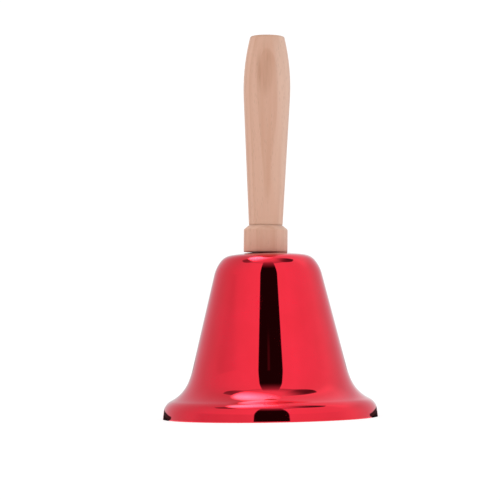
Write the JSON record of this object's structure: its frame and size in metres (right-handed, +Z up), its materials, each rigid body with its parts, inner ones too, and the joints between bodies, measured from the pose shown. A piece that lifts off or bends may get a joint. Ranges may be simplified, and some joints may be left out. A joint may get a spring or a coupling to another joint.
{
  "type": "hand bell",
  "caption": "Hand bell: a flared, mirror-bright red steel bell on a straight turned wooden handle, with a ball clapper that swings inside on a linked ring.",
  "frame": {"origin": "centre of the bell's mouth, on the plane of its rim, which is the lowest point of the part", "axes": "+Z up the handle along the axis of the bell; X across and Y to the back, with the screw eye's loop in the XZ plane"},
  "size_m": [0.0654, 0.0654, 0.1159],
  "materials": {
    "beech": "bare turned beech, sanded, fine straight grain",
    "red_plate": "bright nickel plate under transparent red lacquer, mirror gloss outside and duller inside",
    "zinc_steel": "bright zinc-plated steel wire and washer",
    "ball_steel": "tumbled steel ball"
  },
  "bodies": {
    "bell": {"handle": "beech", "bell_shell": "red_plate", "crown_washer": "zinc_steel", "screw_eye": "zinc_steel"},
    "ring": {"hanger_ring": "zinc_steel"},
    "clapper": {"clapper_rod": "zinc_steel", "clapper_ball": "ball_steel"}
  },
  "joints": [
    {"name": "ring_turn", "type": "hinge", "parent": "bell", "child": "ring", "pos_m": [0, 0, 0.03862], "axis": [0, 0, 1], "range_deg": [-32, 32]},
    {"name": "clapper_swing", "type": "hinge", "parent": "ring", "child": "clapper", "pos_m": [0, 0, 0.03502], "axis": [0, 1, 0], "range_deg": [-38, 38]}
  ]
}
